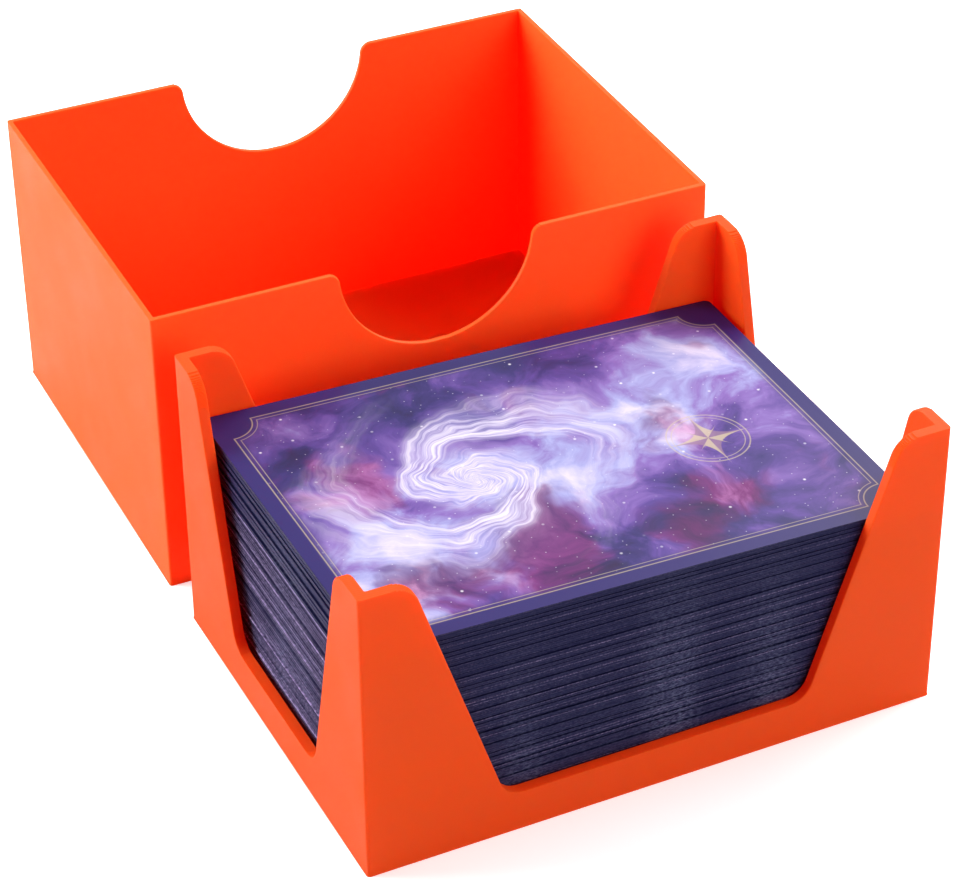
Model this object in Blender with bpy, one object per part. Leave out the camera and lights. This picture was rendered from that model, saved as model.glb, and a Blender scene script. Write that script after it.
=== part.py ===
"""Two-piece box for a deck of sleeved cards, standing open.

The tray holds the deck between four corner posts that its tapered windows leave. The cover is a
thin-walled sleeve with a closed end and two thumb notches. It goes over the tray from above, and
stands beside it here with its opening up. Metres, +Z up. The origin is the centre of the tray's
underside, with X along the cards' long side and the cover towards +Y.
"""

import math

import bmesh
import bpy
from mathutils import Vector

# Sleeved cards
SLEEVE_LENGTH = 0.091
SLEEVE_WIDTH = 0.066
SLEEVE_THICKNESS = 0.0005
SLEEVE_CORNER_RADIUS = 0.001
CARD_COUNT = 58
AIR_BETWEEN_CARDS = 0.000125
DECK_SEAT_GAP = 0.0003
DECK_LEFT_RISE = 0.003
CARD_STRAY_LENGTHWAYS = 0.00025
CARD_STRAY_SIDEWAYS = 0.00015

# Tray
TRAY_WALL = 0.0018
TRAY_FLOOR = 0.0016
TRAY_END_PLAY = 0.0012
TRAY_SIDE_PLAY = 0.0005
TRAY_HEADROOM = 0.01298
TRAY_CORNER_RADIUS = 0.0005
TRAY_RIM_HEIGHT = 0.007
POST_TOP_WIDTH = 0.0084
POST_FOOT_ON_LONG_SIDE = 0.0228
POST_FOOT_ON_SHORT_SIDE = 0.0196
POST_TOP_RADIUS = 0.0045
WINDOW_FILLET = 0.004

# Cover
COVER_WALL = 0.00084
COVER_END_THICKNESS = 0.00084
COVER_PLAY = 0.0002
COVER_DEPTH_PLAY = 0.00016
COVER_CORNER_RADIUS = 0.0004
NOTCH_RADIUS = 0.01725
NOTCH_MOUTH_FILLET = 0.002
COVER_GAP_TO_TRAY = 0.0087
COVER_SHIFT = 0.0012
COVER_YAW_DEGREES = -0.74

# How far a cutter reaches past the faces that it cuts
OVERRUN = 0.002
ARC_STEPS = 6
NOTCH_STEPS = 24

# Sizes that follow from those above
CARD_PITCH = SLEEVE_THICKNESS + AIR_BETWEEN_CARDS
DECK_HEIGHT = CARD_COUNT * CARD_PITCH - AIR_BETWEEN_CARDS
TRAY_LENGTH = SLEEVE_LENGTH + 2 * (TRAY_END_PLAY + TRAY_WALL)
TRAY_WIDTH = SLEEVE_WIDTH + 2 * (TRAY_SIDE_PLAY + TRAY_WALL)
TRAY_HEIGHT = TRAY_FLOOR + DECK_SEAT_GAP + DECK_HEIGHT + TRAY_HEADROOM
COVER_LENGTH = TRAY_LENGTH + 2 * (COVER_PLAY + COVER_WALL)
COVER_WIDTH = TRAY_WIDTH + 2 * (COVER_PLAY + COVER_WALL)
COVER_HEIGHT = TRAY_HEIGHT + COVER_DEPTH_PLAY + COVER_END_THICKNESS
COVER_DISTANCE = TRAY_WIDTH / 2 + COVER_GAP_TO_TRAY + COVER_WIDTH / 2

ORANGE = (0.85, 0.13, 0.02, 1.0)
NAVY = (0.02, 0.02, 0.055, 1.0)


def clear_scene():
    """Remove whatever the scene holds."""
    for obj in list(bpy.data.objects):
        bpy.data.objects.remove(obj, do_unlink=True)


def make_material(name, colour, roughness):
    """A Principled material for one kind of plastic."""
    material = bpy.data.materials.new(name)
    material.use_nodes = True
    shader = material.node_tree.nodes["Principled BSDF"]
    shader.inputs["Base Color"].default_value = colour
    shader.inputs["Roughness"].default_value = roughness
    shader.inputs["Metallic"].default_value = 0.0
    return material


def arc_in_corner(before, corner, after, radius, steps):
    """Points of the arc of a radius that rounds a corner of an outline, in order."""
    corner = Vector(corner)
    back = (Vector(before) - corner).normalized()
    ahead = (Vector(after) - corner).normalized()
    half_angle = back.angle(ahead) / 2
    centre = corner + (back + ahead).normalized() * radius / math.sin(half_angle)
    first = corner + back * radius / math.tan(half_angle) - centre
    last = corner + ahead * radius / math.tan(half_angle) - centre
    sweep = first.angle(last)
    points = []
    for step in range(steps + 1):
        share = step / steps
        blend = first * math.sin((1 - share) * sweep) + last * math.sin(share * sweep)
        points.append(tuple(centre + blend / math.sin(sweep)))
    return points


def mirrored(half):
    """A closed outline from its right half, listed from the bottom up."""
    left = [(-across, up) for across, up in reversed(half)]
    return half + left


def rounded_rectangle(length, width, radius):
    """Outline of a rectangle with round corners, counter-clockwise about its centre."""
    corners = [
        (-length / 2, -width / 2),
        (length / 2, -width / 2),
        (length / 2, width / 2),
        (-length / 2, width / 2),
    ]
    points = []
    for index, corner in enumerate(corners):
        before = corners[index - 1]
        after = corners[(index + 1) % len(corners)]
        points += arc_in_corner(before, corner, after, radius, ARC_STEPS)
    return points


def rectangle(length, width):
    """Outline of a rectangle, counter-clockwise about its centre."""
    across = length / 2
    along = width / 2
    return [(-across, -along), (across, -along), (across, along), (-across, along)]


def window_outline(side_length, foot):
    """What is cut from a side of the tray: a wide mouth, tapered sides and a flat sill."""
    sill = (side_length / 2 - foot, TRAY_RIM_HEIGHT)
    mouth = (side_length / 2 - POST_TOP_WIDTH, TRAY_HEIGHT)
    outer_corner = (side_length / 2, TRAY_HEIGHT)
    sill_middle = (0.0, TRAY_RIM_HEIGHT)
    half = arc_in_corner(sill_middle, sill, mouth, WINDOW_FILLET, ARC_STEPS)
    half += arc_in_corner(sill, mouth, outer_corner, POST_TOP_RADIUS, ARC_STEPS)
    half.append((half[-1][0], TRAY_HEIGHT + OVERRUN))
    return mirrored(half)


def notch_outline():
    """A half circle below the cover's rim, whose mouth flares out through two fillets."""
    reach = NOTCH_RADIUS + NOTCH_MOUTH_FILLET
    tangent = math.asin(NOTCH_MOUTH_FILLET / reach)
    half = []
    for step in range(NOTCH_STEPS // 2 + 1):
        angle = -math.pi / 2 + (math.pi / 2 - tangent) * step / (NOTCH_STEPS // 2)
        across = NOTCH_RADIUS * math.cos(angle)
        half.append((across, COVER_HEIGHT + NOTCH_RADIUS * math.sin(angle)))
    fillet_centre = (reach * math.cos(tangent), COVER_HEIGHT - NOTCH_MOUTH_FILLET)
    for step in range(1, ARC_STEPS + 1):
        angle = math.pi - tangent - (math.pi / 2 - tangent) * step / ARC_STEPS
        across = fillet_centre[0] + NOTCH_MOUTH_FILLET * math.cos(angle)
        half.append((across, fillet_centre[1] + NOTCH_MOUTH_FILLET * math.sin(angle)))
    half.append((half[-1][0], COVER_HEIGHT + OVERRUN))
    left = [(-across, up) for across, up in reversed(half[1:])]
    return half + left


def extruded(name, outline, along, start, end):
    """A mesh of an outline extruded from start to end along X, Y or Z."""
    places = {
        "X": lambda point, depth: (depth, point[0], point[1]),
        "Y": lambda point, depth: (point[0], depth, point[1]),
        "Z": lambda point, depth: (point[0], point[1], depth),
    }
    shape = bmesh.new()
    corners = [shape.verts.new(places[along](point, start)) for point in outline]
    face = shape.faces.new(corners)
    swept = bmesh.ops.extrude_face_region(shape, geom=[face])
    moved = [item for item in swept["geom"] if isinstance(item, bmesh.types.BMVert)]
    direction = Vector(places[along]((0.0, 0.0), end - start))
    bmesh.ops.translate(shape, verts=moved, vec=direction)
    bmesh.ops.recalc_face_normals(shape, faces=shape.faces)
    mesh = bpy.data.meshes.new(name)
    shape.to_mesh(mesh)
    shape.free()
    return mesh


def add_object(name, mesh, parent=None):
    """Link a mesh, or an empty where there is none, into the scene."""
    obj = bpy.data.objects.new(name, mesh)
    bpy.context.scene.collection.objects.link(obj)
    obj.parent = parent
    return obj


def cut(target, name, mesh):
    """Cut a mesh out of the target with an exact Boolean, and keep its cutter as a guide."""
    cutter = add_object(name, mesh, target.parent)
    cutter.hide_render = True
    cutter.display_type = "WIRE"
    boolean = target.modifiers.new(name, "BOOLEAN")
    boolean.operation = "DIFFERENCE"
    boolean.solver = "EXACT"
    boolean.object = cutter


def build_tray(material):
    """The tray: a block hollowed from above, with a window cut through each pair of sides."""
    block = rounded_rectangle(TRAY_LENGTH, TRAY_WIDTH, TRAY_CORNER_RADIUS)
    tray = add_object("tray", extruded("tray", block, "Z", 0.0, TRAY_HEIGHT))
    tray.data.materials.append(material)
    hollow = rectangle(TRAY_LENGTH - 2 * TRAY_WALL, TRAY_WIDTH - 2 * TRAY_WALL)
    hollow_mesh = extruded("tray_hollow", hollow, "Z", TRAY_FLOOR, TRAY_HEIGHT + OVERRUN)
    cut(tray, "tray_hollow", hollow_mesh)
    long_reach = TRAY_WIDTH / 2 + OVERRUN
    long_window = window_outline(TRAY_LENGTH, POST_FOOT_ON_LONG_SIDE)
    cut(tray, "long_windows", extruded("long_windows", long_window, "Y", -long_reach, long_reach))
    short_reach = TRAY_LENGTH / 2 + OVERRUN
    short_window = window_outline(TRAY_WIDTH, POST_FOOT_ON_SHORT_SIDE)
    cut(tray, "short_windows", extruded("short_windows", short_window, "X", -short_reach, short_reach))
    return tray


def build_cover(material):
    """The cover: a thin-walled block, hollowed from above, with a notch through both long walls."""
    place = add_object("cover_place", None)
    place.location = (COVER_SHIFT, COVER_DISTANCE, 0.0)
    place.rotation_euler.z = math.radians(COVER_YAW_DEGREES)
    block = rounded_rectangle(COVER_LENGTH, COVER_WIDTH, COVER_CORNER_RADIUS)
    cover = add_object("cover", extruded("cover", block, "Z", 0.0, COVER_HEIGHT), place)
    cover.data.materials.append(material)
    hollow = rectangle(COVER_LENGTH - 2 * COVER_WALL, COVER_WIDTH - 2 * COVER_WALL)
    top = COVER_HEIGHT + OVERRUN
    cut(cover, "cover_hollow", extruded("cover_hollow", hollow, "Z", COVER_END_THICKNESS, top))
    reach = COVER_WIDTH / 2 + OVERRUN
    cut(cover, "thumb_notches", extruded("thumb_notches", notch_outline(), "Y", -reach, reach))
    return cover


def build_deck(material):
    """The deck: one plate for each sleeved card, fanned a little so that its left end is higher."""
    place = add_object("deck_place", None)
    place.location.z = TRAY_FLOOR + DECK_SEAT_GAP
    outline = rounded_rectangle(SLEEVE_LENGTH, SLEEVE_WIDTH, SLEEVE_CORNER_RADIUS)
    mesh = extruded("sleeved_card", outline, "Z", 0.0, SLEEVE_THICKNESS)
    mesh.materials.append(material)
    for number in range(CARD_COUNT):
        card = add_object(f"sleeved_card_{number + 1:02d}", mesh, place)
        rise = DECK_LEFT_RISE * number / (CARD_COUNT - 1)
        card.rotation_euler.y = math.asin(rise / SLEEVE_LENGTH)
        stray_x = CARD_STRAY_LENGTHWAYS * math.sin(2.4 * number)
        stray_y = CARD_STRAY_SIDEWAYS * math.sin(1.7 * number + 1.0)
        card.location = (stray_x, stray_y, number * CARD_PITCH)


def main():
    clear_scene()
    build_tray(make_material("printed_plastic_tray", ORANGE, 0.5))
    build_cover(make_material("printed_plastic_cover", ORANGE, 0.5))
    build_deck(make_material("card_sleeve", NAVY, 0.35))


main()
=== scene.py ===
"""Looks of an open two-piece box for a deck of sleeved cards.

The printed tray and cover are laid down here layer by layer, as the printer lays them, and every
sleeved card of the deck is one closed plate with its sleeve's outer form. All of it stands where the
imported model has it, in metres, with +Z up.
"""

import math

import bmesh
import bpy
import numpy as np
from bpy.props import FloatProperty, FloatVectorProperty, IntProperty, PointerProperty, StringProperty
from mathutils import Euler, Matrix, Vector


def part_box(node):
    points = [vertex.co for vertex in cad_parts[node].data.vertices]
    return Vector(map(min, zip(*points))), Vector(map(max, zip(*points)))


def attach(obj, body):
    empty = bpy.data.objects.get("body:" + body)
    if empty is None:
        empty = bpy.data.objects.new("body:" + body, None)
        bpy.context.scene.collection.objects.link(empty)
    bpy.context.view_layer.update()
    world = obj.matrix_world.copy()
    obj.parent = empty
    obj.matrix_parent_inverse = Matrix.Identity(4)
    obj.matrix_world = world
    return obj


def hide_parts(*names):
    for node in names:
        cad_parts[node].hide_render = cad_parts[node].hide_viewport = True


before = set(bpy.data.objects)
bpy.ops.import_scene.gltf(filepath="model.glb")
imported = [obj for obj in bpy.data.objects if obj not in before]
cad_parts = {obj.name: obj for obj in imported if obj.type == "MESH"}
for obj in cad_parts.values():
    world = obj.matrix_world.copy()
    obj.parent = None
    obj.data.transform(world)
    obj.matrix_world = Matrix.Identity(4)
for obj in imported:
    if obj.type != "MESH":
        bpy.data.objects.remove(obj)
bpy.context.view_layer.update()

bl_info = {
    "name": "Open card box",
    "version": (1, 0, 0),
    "blender": (4, 5, 0),
    "location": "3D View > Sidebar > Card box",
    "description": "Makes the printed tray and cover, the sleeved deck and a white studio table",
    "category": "Object",
}

MM = 0.001
CARD_NODES = sorted(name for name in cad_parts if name.startswith("sleeved_card"))


class PrintedPartSettings(bpy.types.PropertyGroup):
    """Sizes of the two printed parts, as the printer makes them."""

    layer: FloatProperty(
        name="Layer height", description="Height of one printed layer", default=0.2 * MM, unit="LENGTH",
        precision=5,
    )
    groove: FloatProperty(
        name="Groove", description="Depth of the groove between layers", default=0.012 * MM, unit="LENGTH",
        precision=6,
    )
    wander: FloatProperty(
        name="Wander", description="How far a layer strays from the next", default=0.0015 * MM,
        unit="LENGTH", precision=6,
    )
    foot_flare: FloatProperty(
        name="Foot flare", description="How far the first layer spreads", default=0.1 * MM, unit="LENGTH",
        precision=5,
    )
    bead_edge: FloatProperty(
        name="Bead edge", description="Radius of a wall's free edge", default=0.22 * MM, unit="LENGTH",
        precision=5,
    )
    tray_wall: FloatProperty(
        name="Tray wall", description="Wall thickness of the tray", default=1.8 * MM, unit="LENGTH",
    )
    tray_floor: FloatProperty(
        name="Tray floor", description="Floor thickness of the tray", default=1.6 * MM, unit="LENGTH",
    )
    tray_rim: FloatProperty(
        name="Tray rim", description="Height of the sills", default=7 * MM, unit="LENGTH",
    )
    tray_corner: FloatProperty(
        name="Tray corner", description="Radius of the tray's corners", default=0.5 * MM, unit="LENGTH",
    )
    post_top: FloatProperty(
        name="Post top", description="Width of a post at its top", default=8.4 * MM, unit="LENGTH",
    )
    long_foot: FloatProperty(
        name="Post foot, long side", description="Width of a post at the sill, on a long side",
        default=22.8 * MM, unit="LENGTH",
    )
    short_foot: FloatProperty(
        name="Post foot, short side", description="Width of a post at the sill, on a short side",
        default=19.6 * MM, unit="LENGTH",
    )
    post_round: FloatProperty(
        name="Post rounding", description="Radius on top of a post", default=4.5 * MM, unit="LENGTH",
    )
    sill_fillet: FloatProperty(
        name="Sill fillet", description="Radius at the ends of a sill", default=4 * MM, unit="LENGTH",
    )
    cover_wall: FloatProperty(
        name="Cover wall", description="Wall thickness of the cover", default=0.84 * MM, unit="LENGTH",
    )
    cover_end: FloatProperty(
        name="Cover end", description="Thickness of the closed end", default=0.84 * MM, unit="LENGTH",
    )
    cover_corner: FloatProperty(
        name="Cover corner", description="Radius of the cover's corners", default=0.4 * MM, unit="LENGTH",
    )
    cover_turn: FloatProperty(
        name="Cover turn", description="Turn of the loose cover on the table", default=math.radians(-0.74),
        subtype="ANGLE",
    )
    notch: FloatProperty(
        name="Notch", description="Radius of a thumb notch", default=17.25 * MM, unit="LENGTH",
    )
    notch_mouth: FloatProperty(
        name="Notch mouth", description="Radius at a notch's mouth", default=2 * MM, unit="LENGTH",
    )
    # Painted light: tray and cover are one filament; these two copies of its orange differ for how light
    # passes through thick and thin walls, and the tray's is set darker where its stronger painted glow adds
    # red.
    tray_orange: StringProperty(
        name="Tray orange", description="Colour of the tray's thick walls, in sRGB hex", default="#D35014",
    )
    cover_orange: StringProperty(
        name="Cover orange", description="Colour of the cover's thin walls, in sRGB hex", default="#FA5E21",
    )
    # Painted glow: an even red emission in the orange, standing in for red light that spreads inside the
    # walls and reaches their shaded edges.
    tray_painted_glow: FloatProperty(
        name="Tray glow", description="Red light that spreads inside the tray's thick walls", default=0.25,
    )
    cover_painted_glow: FloatProperty(
        name="Cover glow", description="Red light that spreads inside the cover's thin walls", default=0.04,
    )


class DeckSettings(bpy.types.PropertyGroup):
    """Sizes and colours of the sleeved cards."""

    sleeve_length: FloatProperty(
        name="Sleeve length", description="Long side of a sleeve", default=91 * MM, unit="LENGTH",
    )
    sleeve_width: FloatProperty(
        name="Sleeve width", description="Short side of a sleeve", default=66 * MM, unit="LENGTH",
    )
    thickness: FloatProperty(
        name="Thickness", description="A card in its sleeve", default=0.5 * MM, unit="LENGTH", precision=5,
    )
    corner: FloatProperty(
        name="Corner", description="Radius of a sleeve's corner", default=1 * MM, unit="LENGTH",
    )
    border: FloatProperty(
        name="Border", description="Border round the picture on a sleeve", default=2.8 * MM, unit="LENGTH",
    )
    sag: FloatProperty(
        name="Sag", description="Height of the waves in a sleeve", default=0.05 * MM, unit="LENGTH",
        precision=5,
    )
    fan: FloatProperty(
        name="Fan",
        description="Share by which a sleeve is thicker at the deck's higher end than at its middle",
        default=0.045,
    )
    open_at_left: IntProperty(
        name="Open at left", description="How many of the lowest sleeves have their mouth at the left end",
        default=43,
    )
    film: StringProperty(name="Film", description="Colour of the dark film", default="#13143A")
    # Partly painted light: the pale colour that the film's sides are mixed towards, for dusty specks and
    # scratches, and as painted light low in the deck.
    dust_and_painted_light: StringProperty(
        name="Dust", description="Colour of dust and scratches on the film", default="#7A7DA3",
    )
    # Painted highlight: the pale colour of the light that a film's cut edge catches.
    lip_highlight: StringProperty(name="Lip", description="Colour of a film's cut edge", default="#CDB8F0")
    indigo: StringProperty(
        name="Indigo", description="Colour of the border of the picture", default="#2B2062",
    )
    gold: StringProperty(
        name="Gold", description="Colour of the thin lines of the picture", default="#C9B894",
    )
    gold_shade: StringProperty(
        name="Gold shade", description="Colour of the star's darker facets", default="#8F6F86",
    )


class StageSettings(bpy.types.PropertyGroup):
    """Light and table."""

    left_power: FloatProperty(
        name="Left", description="Power of the softbox at the left", default=15.0, unit="POWER",
    )
    right_power: FloatProperty(
        name="Right", description="Power of the softbox at the right", default=14.2, unit="POWER",
    )
    front_power: FloatProperty(
        name="Front", description="Power of the low softbox in front", default=4.8, unit="POWER",
    )
    sky: FloatProperty(name="Sky", description="Strength of the even light all round", default=0.02)
    table: StringProperty(name="Table", description="Colour of the table", default="#FCFCFC")
    table_bounce: StringProperty(
        name="Table bounce", description="Colour of the light that the table gives back to the box",
        default="#C7C7C7",
    )
    haze: FloatProperty(
        name="Haze", description="White that the table shows besides its own light, near the box",
        default=0.5,
    )
    camera_place: FloatVectorProperty(
        name="Camera place", description="Where the camera stands",
        default=(-0.184113, -0.362655, 0.319738), unit="LENGTH",
    )
    camera_turn: FloatVectorProperty(
        name="Camera turn", description="How the camera is turned",
        default=(math.radians(55.6376), math.radians(0.5133), math.radians(-25.6379)), subtype="EULER",
    )
    lens: FloatProperty(
        name="Lens", description="Focal length in millimetres for a 36 mm sensor", default=120.07,
    )


SETTINGS = {"printed_part": PrintedPartSettings, "deck": DeckSettings, "stage": StageSettings}


# Colours and materials


def linear(hex_colour):
    """Linear RGBA of an sRGB hex colour."""
    code = hex_colour.lstrip("#")
    shares = np.array([int(code[i:i + 2], 16) for i in (0, 2, 4)]) / 255
    rgb = np.where(shares <= 0.04045, shares / 12.92, ((shares + 0.055) / 1.055) ** 2.4)
    return (*rgb.tolist(), 1.0)


def node(tree, kind, inputs=None, ramp=None, **settings):
    """Add a node with its settings. An input is a value, or another node's output to link."""
    item = tree.nodes.new(kind)
    for name, value in settings.items():
        setattr(item, name, value)
    for socket, value in (inputs or {}).items():
        if isinstance(value, bpy.types.NodeSocket):
            tree.links.new(value, item.inputs[socket])
        else:
            item.inputs[socket].default_value = value
    if ramp:
        stops = item.color_ramp.elements
        while len(stops) < len(ramp):
            stops.new(0.5)
        for stop, (place, colour) in zip(stops, ramp):
            stop.position = place
            stop.color = linear(colour)
    return item


def new_material(name):
    """An empty material with its shader and output, ready for a finish."""
    material = bpy.data.materials.new(name)
    material.use_nodes = True
    tree = material.node_tree
    return material, tree, tree.nodes["Principled BSDF"]


def seen_directly(tree):
    """1 where the camera, a gloss or a clear film sees the surface, and 0 where it only gives light."""
    path = node(tree, "ShaderNodeLightPath").outputs
    seen = path["Is Camera Ray"]
    for ray in ("Is Glossy Ray", "Is Transmission Ray"):
        seen = node(tree, "ShaderNodeMath", {0: seen, 1: path[ray]}, operation="MAXIMUM").outputs[0]
    return seen


def printed_pla(name, orange, glow):
    """PLA, printed in layers: satin, a little mottled, with raster lines on flat faces.

    The layers themselves are in the mesh. The raster of the horizontal faces runs at 45 degrees
    with lines 0.42 mm apart, as wide as the nozzle lays them. Red light goes far in the plastic, and
    the red that edges in shade keep is painted in as an even, faint red emission: a painted glow.
    """
    material, tree, shader = new_material(name)
    place = node(tree, "ShaderNodeTexCoord").outputs["Object"]
    mottle = node(tree, "ShaderNodeTexNoise", {"Vector": place, "Scale": 90.0, "Detail": 3.0}).outputs["Fac"]
    mottle = {"Value": mottle, "From Min": 0.3, "From Max": 0.7}
    shade = node(tree, "ShaderNodeMapRange", {**mottle, "To Min": 0.985, "To Max": 1.01}).outputs["Result"]
    tint = node(tree, "ShaderNodeHueSaturation", {"Value": shade, "Color": linear(orange)})
    tree.links.new(tint.outputs["Color"], shader.inputs["Base Color"])
    gloss = node(tree, "ShaderNodeMapRange", {**mottle, "To Min": 0.49, "To Max": 0.59})
    tree.links.new(gloss.outputs["Result"], shader.inputs["Roughness"])
    shader.inputs["IOR"].default_value = 1.46
    shader.inputs["Specular IOR Level"].default_value = 0.12
    shader.subsurface_method = "BURLEY"
    shader.inputs["Subsurface Weight"].default_value = 0.8
    shader.inputs["Subsurface Radius"].default_value = (1.0, 0.15, 0.06)
    shader.inputs["Subsurface Scale"].default_value = 3 * MM
    # Painted glow: an even red emission, for the red that edges in shade keep from light spread inside the
    # plastic.
    shader.inputs["Emission Color"].default_value = (1.0, 0.0, 0.0, 1.0)
    shader.inputs["Emission Strength"].default_value = glow

    line_pitch = 0.42 * MM
    pace = 2 * math.pi / line_pitch / math.sqrt(2)
    raster = node(tree, "ShaderNodeVectorMath", {0: place, 1: (pace, pace, 0.0)}, operation="DOT_PRODUCT")
    raster = node(tree, "ShaderNodeMath", {0: raster.outputs["Value"]}, operation="SINE").outputs[0]
    normal = node(tree, "ShaderNodeNewGeometry").outputs["True Normal"]
    facing = node(tree, "ShaderNodeSeparateXYZ", {0: normal}).outputs["Z"]
    facing = node(tree, "ShaderNodeMath", {0: facing}, operation="ABSOLUTE").outputs[0]
    flat = node(
        tree, "ShaderNodeMapRange", {"Value": facing, "From Min": 0.96, "From Max": 0.99}
    ).outputs["Result"]
    raster = node(tree, "ShaderNodeMath", {0: raster, 1: flat}, operation="MULTIPLY").outputs[0]
    raster_bump = node(
        tree, "ShaderNodeBump", {"Height": raster, "Strength": 0.5, "Distance": 0.01 * MM}
    ).outputs["Normal"]
    grain = node(tree, "ShaderNodeTexNoise", {"Vector": place, "Scale": 2600.0, "Detail": 2.0}).outputs["Fac"]
    bump = node(
        tree,
        "ShaderNodeBump",
        {"Height": grain, "Strength": 0.35, "Distance": 0.01 * MM, "Normal": raster_bump},
    )
    tree.links.new(bump.outputs["Normal"], shader.inputs["Normal"])
    return material


def sleeve_film(settings):
    """Polypropylene card sleeve, cut and welded: dark film, with a painted highlight on the cut edges at its
    open end.

    A value on each point is 1 on the cut edge of a film, and there a painted highlight stands for the
    light that the edge catches. It is strong in stretches some 12 mm long, with a finer painted
    sparkle, as the cut is ragged. Elsewhere the sides are mixed towards a pale colour in upright
    patches some 16 mm wide and in fine specks, for dusty film and fine scratches, and more so low in
    the deck, which is painted light.
    """
    material, tree, shader = new_material("cut_polypropylene_film")
    place = node(tree, "ShaderNodeTexCoord").outputs["Object"]
    # Painted highlight on the films' cut edges, strong in ragged stretches with a finer painted sparkle.
    lip_highlight = node(tree, "ShaderNodeAttribute", attribute_name="lip_highlight").outputs["Fac"]
    lip_highlight_share = lip_highlight
    for scale, low, high, dim, strong in (
        ((0.08 / MM, 0.08 / MM, 4 / MM), 0.35, 0.62, 0.5, 1.1),
        ((3 / MM, 3 / MM, 3 / MM), 0.4, 0.7, 0.45, 2.4),
    ):
        ragged = node(tree, "ShaderNodeMapping", {"Vector": place, "Scale": scale}).outputs[0]
        ragged = node(
            tree, "ShaderNodeTexNoise", {"Vector": ragged, "Scale": 1.0, "Detail": 1.0}
        ).outputs["Fac"]
        ragged = node(
            tree,
            "ShaderNodeMapRange",
            {"Value": ragged, "From Min": low, "From Max": high, "To Min": dim, "To Max": strong},
        ).outputs["Result"]
        lip_highlight_share = node(
            tree, "ShaderNodeMath", {0: lip_highlight_share, 1: ragged}, operation="MULTIPLY", use_clamp=True
        ).outputs[0]

    # Painted light: the side is mixed more towards the pale colour low in the deck, about three quarters at
    # its foot and a seventh at its top; the noise below then lays it in upright patches some 16 mm wide and
    # in fine specks.
    height = node(tree, "ShaderNodeSeparateXYZ", {0: place}).outputs["Z"]
    dust_and_painted_light_share = node(
        tree,
        "ShaderNodeMapRange",
        {"Value": height, "From Min": 2 * MM, "From Max": 36 * MM, "To Min": 0.75, "To Max": 0.14},
    ).outputs["Result"]
    for scale, low, high, dim in (
        ((0.06 / MM, 0.06 / MM, 0.008 / MM), 0.46, 0.62, 0.24),
        ((1.6 / MM, 1.6 / MM, 5 / MM), 0.42, 0.72, 0.12),
    ):
        dust_and_painted_light = node(tree, "ShaderNodeMapping", {"Vector": place, "Scale": scale}).outputs[0]
        dust_and_painted_light = node(tree, "ShaderNodeTexNoise", {"Vector": dust_and_painted_light, "Scale": 1.0, "Detail": 1.5}).outputs["Fac"]
        dust_and_painted_light = node(
            tree, "ShaderNodeMapRange", {"Value": dust_and_painted_light, "From Min": low, "From Max": high, "To Min": dim}
        ).outputs["Result"]
        dust_and_painted_light_share = node(tree, "ShaderNodeMath", {0: dust_and_painted_light_share, 1: dust_and_painted_light}, operation="MULTIPLY").outputs[0]
    colour = node(
        tree, "ShaderNodeMix", {0: dust_and_painted_light_share, 6: linear(settings.film), 7: linear(settings.dust_and_painted_light)}, data_type="RGBA"
    ).outputs[2]
    colour = node(
        tree, "ShaderNodeMix", {0: lip_highlight_share, 6: colour, 7: linear(settings.lip_highlight)}, data_type="RGBA"
    ).outputs[2]
    tree.links.new(colour, shader.inputs["Base Color"])
    shader.inputs["Roughness"].default_value = 0.5
    shader.inputs["IOR"].default_value = 1.49
    shader.inputs["Specular IOR Level"].default_value = 0.08
    return material


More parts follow.
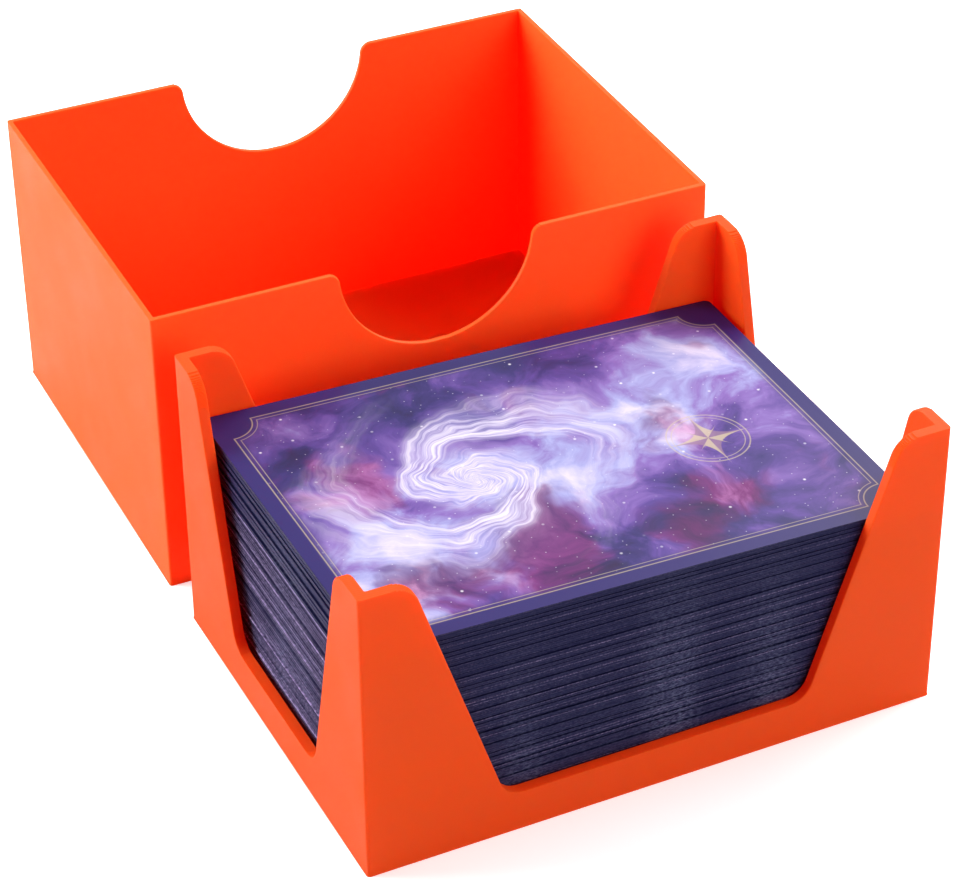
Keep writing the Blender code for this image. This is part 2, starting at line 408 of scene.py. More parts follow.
def printed_back(settings):
    """Matt polypropylene, printed: the picture on a sleeve's back, here a night sky in a thin frame.

    All lengths are millimetres from the sleeve's middle. Clouds are noise bent by slower noise. The
    whorl's arms follow a logarithmic spiral, where twice the angle and 5 times the logarithm of the
    radius add up to the same, and its strands are noise on that sum. Stars stand in the cells of a
    Voronoi pattern. A star with 4 points is where x ^ 0.42 + y ^ 0.42 stays below a limit.
    """
    material, tree, shader = new_material("printed_polypropylene_sleeve")
    length, width = settings.sleeve_length / MM, settings.sleeve_width / MM
    flat = node(
        tree,
        "ShaderNodeMapping",
        {
            "Vector": node(tree, "ShaderNodeUVMap", uv_map="print").outputs[0],
            "Location": (-length / 2, -width / 2, 0.0),
            "Scale": (length, width, 1.0),
        },
    ).outputs[0]
    drift = node(tree, "ShaderNodeTexNoise", {"Vector": flat, "Scale": 0.05, "Detail": 3.0}).outputs["Color"]
    drift = node(
        tree,
        "ShaderNodeMapping",
        {"Vector": drift, "Location": (-9.0, -9.0, 0.0), "Scale": (18.0, 18.0, 0.0)},
    ).outputs[0]
    bent = node(tree, "ShaderNodeVectorMath", {0: flat, 1: drift}, operation="ADD").outputs[0]

    cloud = node(
        tree,
        "ShaderNodeTexNoise",
        {"Vector": bent, "Scale": 0.07, "Detail": 6.0, "Roughness": 0.58, "Distortion": 0.5},
    ).outputs["Fac"]
    river = node(
        tree,
        "ShaderNodeMapping",
        {
            "Vector": bent,
            "Location": (6.0, 2.0, 0.0),
            "Rotation": (0.0, 0.0, math.radians(24)),
            "Scale": (1.0, 1.0, 1.0),
        },
        vector_type="TEXTURE",
    ).outputs[0]
    river = node(tree, "ShaderNodeSeparateXYZ", {0: river}).outputs["Y"]
    river = node(tree, "ShaderNodeMath", {0: river}, operation="ABSOLUTE").outputs[0]
    river = node(
        tree,
        "ShaderNodeMapRange",
        {"Value": river, "From Max": 24.0, "To Min": 0.34, "To Max": 0.0},
        interpolation_type="SMOOTHSTEP",
    ).outputs["Result"]
    depth = node(tree, "ShaderNodeMath", {0: cloud, 1: river}, operation="ADD").outputs[0]
    sky = node(
        tree,
        "ShaderNodeValToRGB",
        {"Fac": depth},
        [
            (0.30, "#1A1544"),
            (0.45, "#322768"),
            (0.56, "#553C8A"),
            (0.67, "#7F60AC"),
            (0.79, "#9F9FD2"),
            (0.94, "#D6CDE6"),
        ],
    ).outputs["Color"]

    ember = node(tree, "ShaderNodeVectorMath", {0: bent, 1: (37.0, 11.0, 5.0)}, operation="ADD").outputs[0]
    ember = node(tree, "ShaderNodeTexNoise", {"Vector": ember, "Scale": 0.055, "Detail": 4.0}).outputs["Fac"]
    ember = node(
        tree,
        "ShaderNodeMapRange",
        {"Value": ember, "From Min": 0.52, "From Max": 0.66, "To Max": 0.8},
        interpolation_type="SMOOTHSTEP",
    ).outputs["Result"]
    warm = node(
        tree, "ShaderNodeValToRGB", {"Fac": cloud}, [(0.36, "#2B0E42"), (0.52, "#741D62"), (0.70, "#C27AB2")]
    ).outputs["Color"]
    sky = node(tree, "ShaderNodeMix", {0: ember, 6: sky, 7: warm}, data_type="RGBA").outputs[2]

    disc = node(
        tree,
        "ShaderNodeMapping",
        {
            "Vector": bent,
            "Location": (-13.0, 1.0, 0.0),
            "Rotation": (0.0, 0.0, 0.5),
            "Scale": (1.3, 0.95, 1.0),
        },
        vector_type="TEXTURE",
    ).outputs[0]
    radius = node(tree, "ShaderNodeVectorMath", {0: disc}, operation="LENGTH").outputs["Value"]
    spot = node(tree, "ShaderNodeSeparateXYZ", {0: disc}).outputs
    angle = node(tree, "ShaderNodeMath", {0: spot["Y"], 1: spot["X"]}, operation="ARCTAN2").outputs[0]
    reach = node(tree, "ShaderNodeMath", {0: radius, 1: math.e}, operation="LOGARITHM").outputs[0]
    twice = node(tree, "ShaderNodeMath", {0: angle, 1: 2.0}, operation="MULTIPLY").outputs[0]
    phase = node(tree, "ShaderNodeMath", {0: reach, 1: 5.0, 2: twice}, operation="MULTIPLY_ADD").outputs[0]
    wave = node(tree, "ShaderNodeMath", {0: phase}, operation="SINE").outputs[0]
    swing = node(tree, "ShaderNodeMath", {0: phase}, operation="COSINE").outputs[0]
    strand_place = node(tree, "ShaderNodeCombineXYZ", {0: wave, 1: swing, 2: reach}).outputs[0]
    strand = node(
        tree, "ShaderNodeTexNoise", {"Vector": strand_place, "Scale": 2.8, "Detail": 5.0, "Roughness": 0.6}
    ).outputs["Fac"]
    strand = node(
        tree, "ShaderNodeMapRange", {"Value": strand, "From Min": 0.36, "From Max": 0.62, "To Min": 0.35}
    ).outputs["Result"]
    arm = node(
        tree,
        "ShaderNodeMapRange",
        {"Value": wave, "From Min": -0.7, "From Max": 0.5},
        interpolation_type="SMOOTHSTEP",
    ).outputs["Result"]
    fade, core = (
        node(
            tree,
            "ShaderNodeMapRange",
            {"Value": radius, "From Min": near, "From Max": far, "To Min": 1.0, "To Max": 0.0},
            interpolation_type="SMOOTHSTEP",
        ).outputs["Result"]
        for near, far in ((10.0, 27.0), (1.0, 9.0))
    )
    arm = node(tree, "ShaderNodeMath", {0: arm, 1: strand}, operation="MULTIPLY").outputs[0]
    arm = node(tree, "ShaderNodeMath", {0: arm, 1: fade}, operation="MULTIPLY").outputs[0]
    whorl = node(tree, "ShaderNodeMath", {0: arm, 1: core}, operation="ADD", use_clamp=True).outputs[0]
    milk = node(
        tree, "ShaderNodeValToRGB", {"Fac": strand}, [(0.25, "#8F90CE"), (0.65, "#C6BCE2"), (1.0, "#E2DAEC")]
    ).outputs["Color"]
    sky = node(tree, "ShaderNodeMix", {0: whorl, 6: sky, 7: milk}, data_type="RGBA").outputs[2]

    for scale, size, share in ((0.5, 0.075, 0.5), (0.15, 0.05, 0.9)):
        cells = node(
            tree, "ShaderNodeTexVoronoi", {"Vector": flat, "Scale": scale}, voronoi_dimensions="2D"
        ).outputs
        dot = node(
            tree,
            "ShaderNodeMapRange",
            {
                "Value": cells["Distance"],
                "From Min": 0.25 * size,
                "From Max": size,
                "To Min": 1.0,
                "To Max": 0.0,
            },
            interpolation_type="SMOOTHSTEP",
        ).outputs["Result"]
        chance = node(tree, "ShaderNodeSeparateXYZ", {0: cells["Color"]}).outputs["X"]
        lit = node(
            tree, "ShaderNodeMapRange", {"Value": chance, "From Min": 0.45, "To Max": share}
        ).outputs["Result"]
        dot = node(tree, "ShaderNodeMath", {0: dot, 1: lit}, operation="MULTIPLY").outputs[0]
        sky = node(tree, "ShaderNodeMix", {0: dot, 6: sky, 7: linear("#F2EEF8")}, data_type="RGBA").outputs[2]

    quarter = node(tree, "ShaderNodeVectorMath", {0: flat}, operation="ABSOLUTE").outputs[0]
    border = settings.border / MM
    corner = (length / 2 - border, width / 2 - border, 0.0)
    past = node(tree, "ShaderNodeVectorMath", {0: quarter, 1: corner}, operation="SUBTRACT").outputs[0]
    past_xyz = node(tree, "ShaderNodeSeparateXYZ", {0: past}).outputs
    from_side = node(
        tree, "ShaderNodeMath", {0: past_xyz["X"], 1: past_xyz["Y"]}, operation="MAXIMUM"
    ).outputs[0]
    from_corner = node(tree, "ShaderNodeVectorMath", {0: past}, operation="LENGTH").outputs["Value"]
    corner_cut = 4.5
    bite = node(tree, "ShaderNodeMath", {0: corner_cut, 1: from_corner}, operation="SUBTRACT").outputs[0]
    outside = node(tree, "ShaderNodeMath", {0: from_side, 1: bite}, operation="MAXIMUM").outputs[0]
    rim = node(
        tree,
        "ShaderNodeMapRange",
        {"Value": outside, "From Min": -2.0, "From Max": 0.6},
        interpolation_type="SMOOTHSTEP",
    ).outputs["Result"]
    sky = node(
        tree, "ShaderNodeMix", {0: rim, 6: sky, 7: linear(settings.indigo)}, data_type="RGBA"
    ).outputs[2]

    badge_place = (25.0, -4.0, 0.0)
    inner_ring = 5.8
    badge = node(tree, "ShaderNodeVectorMath", {0: flat, 1: badge_place}, operation="SUBTRACT").outputs[0]
    from_badge = node(tree, "ShaderNodeVectorMath", {0: badge}, operation="LENGTH").outputs["Value"]
    ornament = 0.0
    star_power = 0.42
    star_blur = 0.04
    for turn, reach_limit in ((0.0, 8.4), (math.pi / 4, 4.4)):
        limit = reach_limit**star_power
        star = node(tree, "ShaderNodeMapping", {"Vector": badge, "Rotation": (0.0, 0.0, turn)}).outputs[0]
        star = node(tree, "ShaderNodeSeparateXYZ", {0: star}).outputs
        powers = 0.0
        for axis in "XY":
            power = node(tree, "ShaderNodeMath", {0: star[axis]}, operation="ABSOLUTE").outputs[0]
            power = node(tree, "ShaderNodeMath", {0: power, 1: star_power}, operation="POWER").outputs[0]
            powers = node(tree, "ShaderNodeMath", {0: powers, 1: power}, operation="ADD").outputs[0]
        span = {"From Min": limit - star_blur, "From Max": limit + star_blur}
        inside = node(
            tree, "ShaderNodeMapRange", {"Value": powers, **span, "To Min": 0.7, "To Max": 0.0}
        ).outputs["Result"]
        ornament = node(tree, "ShaderNodeMath", {0: ornament, 1: inside}, operation="MAXIMUM").outputs[0]
    line_blur = 0.05
    for distance, place, half in (
        (outside, 0.0, 0.11),
        (outside, -0.8, 0.07),
        (from_badge, 6.6, 0.12),
        (from_badge, inner_ring, 0.08),
    ):
        off = node(tree, "ShaderNodeMath", {0: distance, 1: place}, operation="SUBTRACT").outputs[0]
        off = node(tree, "ShaderNodeMath", {0: off}, operation="ABSOLUTE").outputs[0]
        span = {"From Min": half - line_blur, "From Max": half + line_blur}
        line = node(
            tree, "ShaderNodeMapRange", {"Value": off, **span, "To Min": 0.5, "To Max": 0.0}
        ).outputs["Result"]
        ornament = node(tree, "ShaderNodeMath", {0: ornament, 1: line}, operation="MAXIMUM").outputs[0]
    badge_xyz = node(tree, "ShaderNodeSeparateXYZ", {0: badge}).outputs
    bearing = node(
        tree, "ShaderNodeMath", {0: badge_xyz["Y"], 1: badge_xyz["X"]}, operation="ARCTAN2"
    ).outputs[0]
    facet = node(tree, "ShaderNodeMath", {0: bearing, 1: 4.0}, operation="MULTIPLY").outputs[0]
    facet = node(tree, "ShaderNodeMath", {0: facet}, operation="SINE").outputs[0]
    facet = node(
        tree, "ShaderNodeMapRange", {"Value": facet, "From Min": -0.15, "From Max": 0.15}
    ).outputs["Result"]
    facet_reach = inner_ring - 0.1
    on_badge = node(tree, "ShaderNodeMath", {0: from_badge, 1: facet_reach}, operation="LESS_THAN").outputs[0]
    shade = node(tree, "ShaderNodeMath", {0: facet, 1: on_badge}, operation="MULTIPLY").outputs[0]
    gilt = node(
        tree,
        "ShaderNodeMix",
        {0: shade, 6: linear(settings.gold), 7: linear(settings.gold_shade)},
        data_type="RGBA",
    ).outputs[2]
    picture = node(tree, "ShaderNodeMix", {0: ornament, 6: sky, 7: gilt}, data_type="RGBA").outputs[2]
    tree.links.new(picture, shader.inputs["Base Color"])
    shader.inputs["Roughness"].default_value = 0.34
    shader.inputs["IOR"].default_value = 1.49
    shader.inputs["Specular IOR Level"].default_value = 0.18
    return material


# Meshes


def weld(mesh):
    """Join the points that lie in one place, where the parts of a mesh meet."""
    same_place, no_length = 0.0005 * MM, 0.0002 * MM
    shape = bmesh.new()
    shape.from_mesh(mesh)
    bmesh.ops.remove_doubles(shape, verts=shape.verts, dist=same_place)
    bmesh.ops.dissolve_degenerate(shape, edges=shape.edges, dist=no_length)
    shape.to_mesh(mesh)
    shape.free()


def mesh_object(name, points, faces, materials):
    """A piece from its points and its faces."""
    mesh = bpy.data.meshes.new(name)
    mesh.from_pydata(points, [], faces)
    for material in materials:
        mesh.materials.append(material)
    piece = bpy.data.objects.new(name, mesh)
    bpy.context.scene.collection.objects.link(piece)
    return piece


def square_outline(corners, radii, steps):
    """Points and outward normals of a counter-clockwise outline of square corners, each rounded.

    At a corner the normal turns by a right angle, n = n_in cos a + n_out sin a, and the point is
    corner + s r (n - n_in - n_out), with s = 1 on an outer corner and -1 on an inner one.
    """
    before = corners - np.roll(corners, 1, 0)
    after = np.roll(corners, -1, 0) - corners
    before = before / np.linalg.norm(before, axis=1, keepdims=True)
    after = after / np.linalg.norm(after, axis=1, keepdims=True)
    turn = np.sign(before[:, 0] * after[:, 1] - before[:, 1] * after[:, 0])
    normal_in = np.stack([before[:, 1], -before[:, 0]], 1)[:, None]
    normal_out = np.stack([after[:, 1], -after[:, 0]], 1)[:, None]
    angle = np.linspace(0, math.pi / 2, steps)[None, :, None]
    normal = normal_in * np.cos(angle) + normal_out * np.sin(angle)
    reach = (turn * radii)[:, None, None]
    points = corners[:, None] + reach * (normal - normal_in - normal_out)
    return points.reshape(-1, 2), normal.reshape(-1, 2)


class WallPiece:
    """The stretch of a four-sided wall from one opening to the next, as seen from above.

    A side of the wall runs from an opening's edge, whose place on the side is the opening's half
    width, so each point is a fixed place plus the half widths times its moves. The corners are turned
    on a wall whose openings have a half width of opening_share of its sides, which any width fits.
    """

    steps = 4
    opening_share = 0.3

    def __init__(self, signs, length, width, wall, corner_radius, edge_radius):
        def side_end(sign, along_x, inset):
            if along_x:
                return (0.0, sign[1] * (width / 2 - inset)), (sign[0], 0.0), (0.0, 0.0)
            return (sign[0] * (length / 2 - inset), 0.0), (0.0, 0.0), (0.0, sign[1])

        starts_along_x = signs[0][0] != signs[0][1]
        ends_along_x = signs[-1][0] == signs[-1][1]
        still = (0.0, 0.0)

        def path(inset):
            half_x, half_y = length / 2 - inset, width / 2 - inset
            turns = [((sx * half_x, sy * half_y), still, still) for sx, sy in signs]
            first = side_end(signs[0], starts_along_x, inset)
            return [first, *turns, side_end(signs[-1], ends_along_x, inset)]

        vertices = path(0.0) + path(wall)[::-1]
        places, moves_x, moves_y = (np.array(column, float) for column in zip(*vertices))
        count = len(signs)
        edge = [edge_radius]
        inner_radius = max(corner_radius - wall, edge_radius)
        radii = edge + [corner_radius] * count + edge * 2 + [inner_radius] * count + edge
        share, steps = self.opening_share, self.steps
        nominal = places + share * (length * moves_x + width * moves_y)
        points, self.normals = square_outline(nominal, np.array(radii), steps)
        self.moves_x = np.repeat(moves_x, steps, 0)
        self.moves_y = np.repeat(moves_y, steps, 0)
        self.points = points - share * (length * self.moves_x + width * self.moves_y)
        outer_end, inner_start = (count + 1) * steps, (count + 3) * steps
        inner_end, around = (2 * count + 3) * steps, (2 * count + 4) * steps
        self.outer = np.arange(steps - 1, outer_end + 1)
        self.inner = np.arange(inner_start - 1, inner_end + 1)
        self.finish = np.arange(outer_end, inner_start)
        self.start = np.r_[np.arange(inner_end, around), np.arange(steps)]

    def rings(self, heights, insets, half_x, half_y):
        """Rings of points, one for each height, drawn into the wall by its inset."""
        flat = (
            self.points[None]
            + half_x[:, None, None] * self.moves_x[None]
            + half_y[:, None, None] * self.moves_y[None]
            - insets[:, None, None] * self.normals[None]
        )
        return np.concatenate([flat, np.broadcast_to(heights[:, None, None], (*flat.shape[:2], 1))], 2)


def skin(rings, first):
    """Quads between closed rings whose points are numbered from first."""
    count, around = rings.shape[:2]
    index = first + np.arange(count * around).reshape(count, around)
    ahead = np.roll(index, -1, 1)
    quads = np.stack([index[:-1], ahead[:-1], ahead[1:], index[1:]], -1)
    return quads.reshape(-1, 4).tolist(), index


def printed_box(
    name, pieces, floor, sill, height, stepped_above, half_width_x, half_width_y, settings, seed, material
):
    """A box printed in layers, with an opening between each wall piece and the next.

    Each layer is a bead: its side bulges by the depth of the groove between the layers, so a ring
    is drawn in at the layer's foot and head and stands out at its middle. In the upper part an
    opening keeps one width through a layer, so that the rounds there come out in the fine steps
    that the layers make.
    """
    random = np.random.default_rng(seed)
    count = round(height / settings.layer)
    edges = np.linspace(0, height, count + 1)
    groove = settings.groove + settings.wander * random.uniform(-1, 1, count + 1)
    groove[0] = -settings.foot_flare
    groove[-1] = 2 * settings.groove
    belly = settings.wander * random.uniform(-1, 1, count)
    belly[0] = -0.7 * settings.foot_flare

    def layer_rings(low, high):
        """Heights, insets and opening heights of three rings for each layer from low to high."""
        layers = np.arange(low, high)
        middle = (edges[layers] + edges[layers + 1]) / 2
        heights = np.stack([edges[layers], middle, edges[layers + 1]], 1).ravel()
        insets = np.stack([groove[layers], belly[layers], groove[layers + 1]], 1).ravel()
        return heights, insets, np.where(heights > stepped_above, np.repeat(middle, 3), heights)

    sill_layer = round(sill / settings.layer)
    floor_layer = round(floor / settings.layer)
    sill_middle = np.array([(edges[sill_layer] + edges[sill_layer + 1]) / 2])
    parts, faces, start = [], [], 0

    def add(rings):
        nonlocal start
        quads, index = skin(rings, start)
        parts.append(rings.reshape(-1, 3))
        faces.extend(quads)
        start += rings.shape[0] * rings.shape[1]
        return index

    def base(low, side, order):
        heights, insets, _ = layer_rings(low, sill_layer)
        wide_x = np.broadcast_to(half_width_x(sill_middle), heights.shape)
        wide_y = np.broadcast_to(half_width_y(sill_middle), heights.shape)
        loops = [piece.rings(heights, insets, wide_x, wide_y)[:, getattr(piece, side)] for piece in order]
        return add(np.concatenate(loops, 1))

    outer = base(0, "outer", pieces)
    inner = base(floor_layer, "inner", pieces[::-1])
    faces.append(outer[0][::-1].tolist())
    faces.append(inner[0][::-1].tolist())
    heights, insets, middles = layer_rings(sill_layer, count)
    towers = [
        add(piece.rings(heights, insets, half_width_x(middles), half_width_y(middles))) for piece in pieces
    ]
    for piece, tower in zip(pieces, towers):
        faces.append(tower[-1].tolist())
    for number, piece in enumerate(pieces):
        following = (number + 1) % len(pieces)
        sill_edge = np.r_[towers[number][0][piece.finish], towers[following][0][pieces[following].start]]
        faces.append(sill_edge[::-1].tolist())
    box = mesh_object(name, np.concatenate(parts), faces, [material])
    weld(box.data)
    return box


def window_half_width(height, side, foot, settings, top):
    """Half width of a tapered window: a fillet on the sill, a straight slope, a round at the top.

    With the slope's lean a from upright, the fillet's centre lies r tan(45 - a/2) inside the sill's
    corner and the round's centre as far outside the mouth's, each r from the sill or the top.
    """
    rim, fillet, rounding = settings.tray_rim, settings.sill_fillet, settings.post_round
    slope = (foot - settings.post_top) / (top - rim)
    lean = math.atan(slope)
    tangent = math.tan(math.pi / 4 - lean / 2)
    straight = side / 2 - foot + slope * (height - rim)
    low_centre = side / 2 - foot - fillet * tangent
    low = low_centre + np.sqrt(np.clip(fillet**2 - (rim + fillet - height) ** 2, 0, None))
    high_centre = side / 2 - settings.post_top + rounding * tangent
    high = high_centre - np.sqrt(np.clip(rounding**2 - (height - top + rounding) ** 2, 0, None))
    in_fillet = height < rim + fillet * (1 - math.sin(lean))
    in_round = height > top - rounding * (1 - math.sin(lean))
    return np.select([in_fillet, in_round], [low, high], straight)


def notch_half_width(height, settings, top):
    """Half width of a thumb notch: a circle centred on the rim, flared by a fillet at its mouth."""
    radius, mouth = settings.notch, settings.notch_mouth
    reach = radius + mouth
    tangent = math.asin(mouth / reach)
    circle = np.sqrt(np.clip(radius**2 - (top - height) ** 2, 0, None))
    flare = reach * math.cos(tangent) - np.sqrt(np.clip(mouth**2 - (height - top + mouth) ** 2, 0, None))
    return np.where(height > top - radius * math.sin(tangent), flare, circle)


# Rings of a sleeve's edge: u inside the edge in millimetres, share h of the half thickness, and the share of
# the painted highlight on the film's cut edge.
SEAM = (
    (1.5, 1.0, 0.0),
    (0.5, 1.0, 0.0),
    (0.05, 0.99, 0.0),
    (0.0, 0.92, 0.09),
    (0.0, 0.4, 0.09),
    (0.01, 0.2, 0.0),
    (0.03, 0.04, 0.0),
)
MOUTH = (
    (1.5, 1.0, 0.0),
    (0.5, 1.0, 0.0),
    (0.04, 1.0, 0.6),
    (0.0, 0.95, 1.0),
    (0.0, 0.6, 1.0),
    (0.1, 0.56, 0.1),
    (2.2, 0.5, 0.0),
)
CROWN = (32, 26, 20, 14, 9, 5, 3)

# Waves in radians a metre, so 84, 66 and 105 mm long, and their shift from a sleeve to the next.
LONG_WAVE, CROSS_WAVE, STRAY_WAVE = 75, 95, 60
WAVE_SHIFT = 0.12


def sleeved_card(name, low, high, settings, number, mouth_left, crown, materials):
    """One sleeve with its card, as rings that run round a rounded rectangle, from below to the top.

    A ring lies u inside the sleeve's edge, where each axis is scaled by 1 - u / half side, and at a
    share h of the half thickness. SEAM and MOUTH list u in millimetres, h and the share of a painted
    highlight on the film's cut edge.
    Where the two films are welded they close on each other, and at the mouth they stay apart. A
    sleeve holds more air towards the deck's higher end. Its edge waves as sin(x) + sin(y), and its
    neighbours' edges wave with it. The waves die away towards the flat middle, where a sleeve lies
    on the next, and only the top one keeps them on its upper side.
    """
    random = np.random.default_rng(100 + number)
    length, width, radius = settings.sleeve_length, settings.sleeve_width, settings.corner
    half_x, half_y = length / 2 - radius, width / 2 - radius
    along = np.linspace(-1, 1, 33)[1:-1] * half_x
    across = np.linspace(-1, 1, 25)[1:-1] * half_y
    arc = np.linspace(0, math.pi / 2, 5)

    def corner(sx, sy, first):
        turn = arc + first
        return np.stack([sx * half_x + radius * np.cos(turn), sy * half_y + radius * np.sin(turn)], 1)

    outline = np.concatenate(
        [
            np.stack([along, np.full(along.shape, -width / 2)], 1),
            corner(1, -1, -math.pi / 2),
            np.stack([np.full(across.shape, length / 2), across], 1),
            corner(1, 1, 0.0),
            np.stack([-along, np.full(along.shape, width / 2)], 1),
            corner(-1, 1, math.pi / 2),
            np.stack([np.full(across.shape, -length / 2), -across], 1),
            corner(-1, -1, math.pi),
        ]
    )
    mouth_taper, end_reach = 2 * MM, 0.2 * MM
    near_corner = np.clip((half_y - np.abs(outline[:, 1])) / mouth_taper, 0, 1)
    mouth_share = np.where(outline[:, 0] < -length / 2 + end_reach, near_corner, 0) * mouth_left
    seam, mouth = np.array(SEAM)[:, None], np.array(MOUTH)[:, None]
    profile = seam + (mouth - seam) * mouth_share[None, :, None]
    chances = [0.08, 0.2, 0.3, 0.42] if mouth_left else [0, 0, 0.3, 0.7]
    swell = random.choice([0.88, 1.1, 1.14, 1.16], p=chances)
    # Painted highlight: the upper film's cut edge is strongest on the highest sleeve with its mouth at the
    # left, and elsewhere faint or strong by chance; the lower film's edge is kept dim, as painted shade.
    first_mouth = mouth_left and number == settings.open_at_left - 1
    upper_lip_highlight = random.choice([random.uniform(0.12, 0.35), random.uniform(0.8, 1.3)], p=[0.7, 0.3])
    lip_highlight_tones = (1.7 if first_mouth else upper_lip_highlight, random.uniform(0.12, 0.3))
    crown_rings = np.array([(inward, 1.0, 0.0) for inward in crown]).reshape(-1, 1, 3)
    upper = np.concatenate([np.broadcast_to(crown_rings, (len(crown), len(outline), 3)), profile])
    inward = np.concatenate([upper, profile[::-1]])[..., 0] * MM
    height = np.concatenate([upper[..., 1], -profile[::-1, :, 1]]) * swell * settings.thickness / 2
    lip_highlight = np.concatenate([upper[..., 2] * lip_highlight_tones[0], profile[::-1, :, 2] * lip_highlight_tones[1]])
    x = outline[None, :, 0] * (1 - inward / (length / 2))
    y = outline[None, :, 1] * (1 - inward / (width / 2))
    height = height * (1 - settings.fan * x / (length / 2))
    phase = WAVE_SHIFT * number + np.array([0.4, 2.1, 3.7])
    wave = settings.sag * (np.sin(LONG_WAVE * x + phase[0]) + np.sin(CROSS_WAVE * y + phase[1]))
    settled = np.clip(1 - inward / (SEAM[0][0] * MM), 0, 1)
    if crown:
        settled[: len(upper)] = 1
    bend = np.sin(STRAY_WAVE * x + phase[2] + 0.3 * number)
    stray = settings.sag * (bend + random.uniform(-1, 1)) * np.sign(y)
    stray *= np.clip(np.abs(y) / (width / 2), 0, 1) ** 4
    rise = high.z - low.z - settings.thickness
    tilt = math.asin(rise / length)
    centre = (low + high) / 2
    z = height + wave * settled
    rings = np.stack(
        [
            centre.x + x * math.cos(tilt) + z * math.sin(tilt),
            centre.y + y + stray,
            centre.z - x * math.sin(tilt) + z * math.cos(tilt),
        ],
        -1,
    )[::-1]
    quads, index = skin(rings, 0)
    faces = [*quads, index[-1].tolist(), index[0][::-1].tolist()]
    piece = mesh_object(name, rings.reshape(-1, 3), faces, materials)
    mesh = piece.data
    mesh.attributes.new("lip_highlight", "FLOAT", "POINT").data.foreach_set("value", lip_highlight[::-1].ravel())
    corners = np.empty(len(mesh.loops), int)
    mesh.loops.foreach_get("vertex_index", corners)
    uv = np.stack([x / length + 0.5, y / width + 0.5], -1)[::-1].reshape(-1, 2)
    mesh.uv_layers.new(name="print").data.foreach_set("uv", uv[corners].ravel())
    # The picture is on the upper film, inside the rings of its welded edge.
    printed = np.zeros(len(faces), int)
    first_printed = (len(rings) - len(crown) - (3 if crown else 2)) * len(outline)
    printed[first_printed:-1] = 1
    mesh.polygons.foreach_set("material_index", printed)
    return piece


# Operators


class CARDBOX_OT_tray(bpy.types.Operator):
    """Print the tray"""

    bl_idname = "cardbox.tray"
    bl_label = "Tray"

    def execute(self, context):
        settings = context.scene.printed_part
        low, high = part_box("tray")
        length, width, height = high - low
        signs = [(1, 1), (-1, 1), (-1, -1), (1, -1)]
        pieces = [
            WallPiece([sign], length, width, settings.tray_wall, settings.tray_corner, settings.bead_edge)
            for sign in signs
        ]
        tray = printed_box(
            "printed_tray",
            pieces,
            settings.tray_floor,
            settings.tray_rim,
            height,
            height - settings.post_round,
            lambda z: window_half_width(z, length, settings.long_foot, settings, height),
            lambda z: window_half_width(z, width, settings.short_foot, settings, height),
            settings,
            seed=3,
            material=printed_pla("printed_pla_tray", settings.tray_orange, settings.tray_painted_glow),
        )
        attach(tray, "tray")
        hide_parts("tray")
        return {"FINISHED"}


class CARDBOX_OT_cover(bpy.types.Operator):
    """Print the cover and stand it beside the tray"""

    bl_idname = "cardbox.cover"
    bl_label = "Cover"

    def execute(self, context):
        settings = context.scene.printed_part
        low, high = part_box("cover")
        turn = abs(settings.cover_turn)
        spread = high - low
        determinant = math.cos(turn) ** 2 - math.sin(turn) ** 2
        length = (spread.x * math.cos(turn) - spread.y * math.sin(turn)) / determinant
        width = (spread.y * math.cos(turn) - spread.x * math.sin(turn)) / determinant
        height = high.z
        halves = [[(1, -1), (1, 1)], [(-1, 1), (-1, -1)]]
        pieces = [
            WallPiece(signs, length, width, settings.cover_wall, settings.cover_corner, settings.bead_edge)
            for signs in halves
        ]
        cover = printed_box(
            "printed_cover",
            pieces,
            settings.cover_end,
            height - settings.notch,
            height,
            height - settings.notch_mouth,
            lambda z: notch_half_width(z, settings, height),
            lambda z: np.zeros_like(z),
            settings,
            seed=5,
            material=printed_pla("printed_pla_cover", settings.cover_orange, settings.cover_painted_glow),
        )
        mesh = cover.data
        points = np.empty(len(mesh.vertices) * 3)
        mesh.vertices.foreach_get("co", points)
        points = points.reshape(-1, 3)
        cosine, sine = math.cos(settings.cover_turn), math.sin(settings.cover_turn)
        centre = (low + high) / 2
        turned = points[:, :2] @ np.array([[cosine, sine], [-sine, cosine]])
        points[:, :2] = turned + (centre.x, centre.y)
        mesh.vertices.foreach_set("co", points.ravel())
        mesh.update()
        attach(cover, "cover")
        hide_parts("cover")
        return {"FINISHED"}


class CARDBOX_OT_deck(bpy.types.Operator):
    """Stack the sleeved cards in the tray"""

    bl_idname = "cardbox.deck"
    bl_label = "Deck"

    def execute(self, context):
        settings = context.scene.deck
        materials = [sleeve_film(settings), printed_back(settings)]
        for number, card_node in enumerate(CARD_NODES):
            low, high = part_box(card_node)
            crown = CROWN if number == len(CARD_NODES) - 1 else ()
            mouth_left = number < settings.open_at_left
            name = card_node.replace("sleeved_card", "card_in_sleeve")
            card = sleeved_card(name, low, high, settings, number, mouth_left, crown, materials)
            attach(card, "deck")
            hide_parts(card_node)
        return {"FINISHED"}


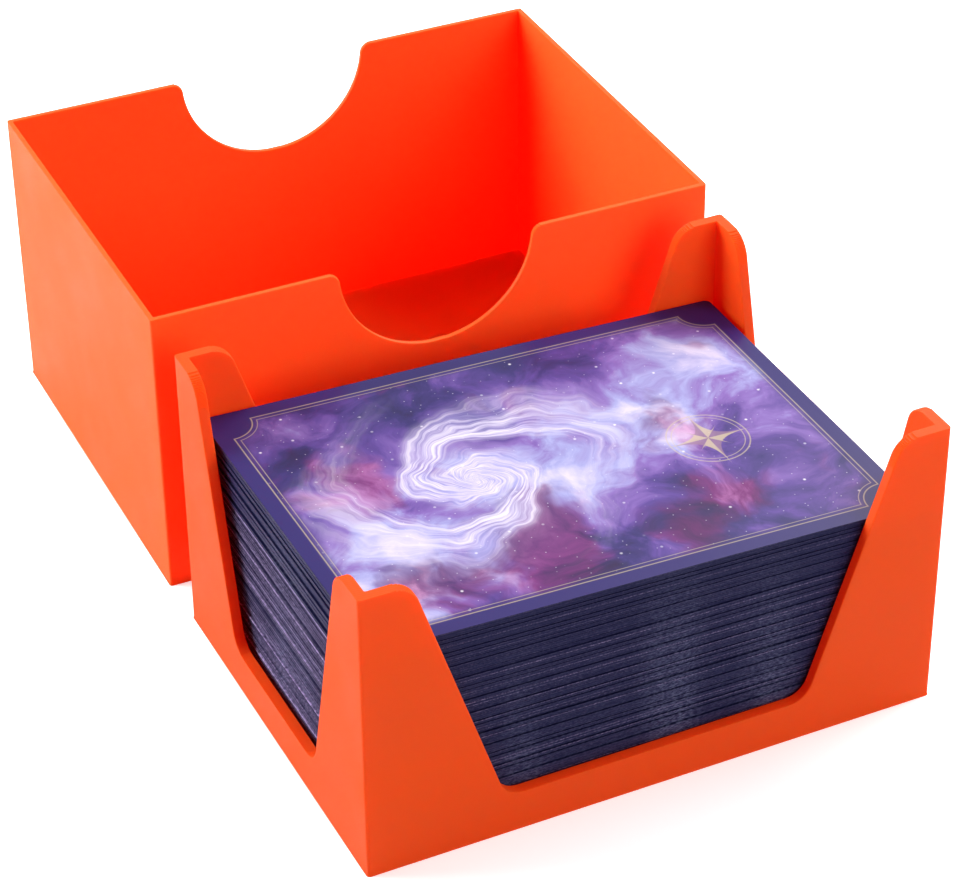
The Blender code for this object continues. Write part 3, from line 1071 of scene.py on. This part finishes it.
class CARDBOX_OT_stage(bpy.types.Operator):
    """Set the white table, the light and the camera"""

    bl_idname = "cardbox.stage"
    bl_label = "Stage"

    def execute(self, context):
        scene = context.scene
        settings = scene.stage
        half = 3.0
        corners = [(-half, -half, 0), (half, -half, 0), (half, half, 0), (-half, half, 0)]
        table_paper, tree, shader = new_material("matt_white_paper")
        shader.inputs["Roughness"].default_value = 1.0
        shader.inputs["Specular IOR Level"].default_value = 0.0
        seen = seen_directly(tree)
        white = node(
            tree,
            "ShaderNodeMix",
            {0: seen, 6: linear(settings.table_bounce), 7: linear(settings.table)},
            data_type="RGBA",
        )
        tree.links.new(white.outputs[2], shader.inputs["Base Color"])
        spot = node(tree, "ShaderNodeTexCoord").outputs["Object"]
        away = node(tree, "ShaderNodeVectorMath", {0: spot}, operation="LENGTH").outputs["Value"]
        haze = node(
            tree,
            "ShaderNodeMapRange",
            {"Value": away, "From Min": 0.2, "From Max": 0.7, "To Min": settings.haze},
        ).outputs["Result"]
        haze = node(tree, "ShaderNodeMath", {0: seen, 1: haze}, operation="MULTIPLY")
        tree.links.new(haze.outputs[0], shader.inputs["Emission Strength"])
        shader.inputs["Emission Color"].default_value = (1.0, 1.0, 1.0, 1.0)
        floor = mesh_object("table", corners, [[0, 1, 2, 3]], [table_paper])

        world = bpy.data.worlds.new("white_tent")
        scene.world = world
        world.use_nodes = True
        tree = world.node_tree
        background = tree.nodes["Background"]
        strength = node(
            tree, "ShaderNodeMapRange", {"Value": seen_directly(tree), "To Min": settings.sky, "To Max": 1.0}
        )
        tree.links.new(strength.outputs["Result"], background.inputs["Strength"])
        background.inputs["Color"].default_value = (1.0, 1.0, 1.0, 1.0)

        lamps = (
            ("softbox_left", settings.left_power, 144, 22, 0.65),
            ("softbox_right", settings.right_power, 20, 37, 0.8),
            ("softbox_front", settings.front_power, 290, 22, 0.6),
        )
        target = Vector((0.0, 0.03, 0.025))
        lamp_distance = 0.95
        for name, power, bearing, rise, size in lamps:
            light = bpy.data.lights.new(name, "AREA")
            light.energy = power
            light.size = size
            lamp = bpy.data.objects.new(name, light)
            turn = Euler((0.0, -math.radians(rise), math.radians(bearing)))
            offset = Vector((lamp_distance, 0.0, 0.0))
            offset.rotate(turn)
            lamp.location = target + offset
            lamp.rotation_euler = (target - lamp.location).to_track_quat("-Z", "Y").to_euler()
            scene.collection.objects.link(lamp)

        view = bpy.data.cameras.new("photograph")
        view.sensor_width = 36.0
        view.lens = settings.lens
        view.clip_start = 0.01
        camera = bpy.data.objects.new("photograph", view)
        camera.location = settings.camera_place
        camera.rotation_euler = settings.camera_turn
        scene.collection.objects.link(camera)
        scene.camera = camera
        scene.view_settings.view_transform = "Standard"
        return {"FINISHED"}


OPERATORS = (CARDBOX_OT_tray, CARDBOX_OT_cover, CARDBOX_OT_deck, CARDBOX_OT_stage)


class CARDBOX_PT_pieces(bpy.types.Panel):
    """Lists the pieces and their settings"""

    bl_idname = "CARDBOX_PT_pieces"
    bl_label = "Card box"
    bl_space_type = "VIEW_3D"
    bl_region_type = "UI"
    bl_category = "Card box"

    def draw(self, context):
        for operator in OPERATORS:
            self.layout.operator(operator.bl_idname)
        for name, group in SETTINGS.items():
            box = self.layout.box()
            for prop in group.__annotations__:
                box.prop(getattr(context.scene, name), prop)


CLASSES = (*SETTINGS.values(), *OPERATORS, CARDBOX_PT_pieces)


def register():
    for item in CLASSES:
        bpy.utils.register_class(item)
    for name, group in SETTINGS.items():
        setattr(bpy.types.Scene, name, PointerProperty(type=group))


def unregister():
    for name in SETTINGS:
        delattr(bpy.types.Scene, name)
    for item in reversed(CLASSES):
        bpy.utils.unregister_class(item)


def main():
    register()
    bpy.ops.cardbox.tray()
    bpy.ops.cardbox.cover()
    bpy.ops.cardbox.deck()
    bpy.ops.cardbox.stage()


if __name__ == "__main__":
    main()
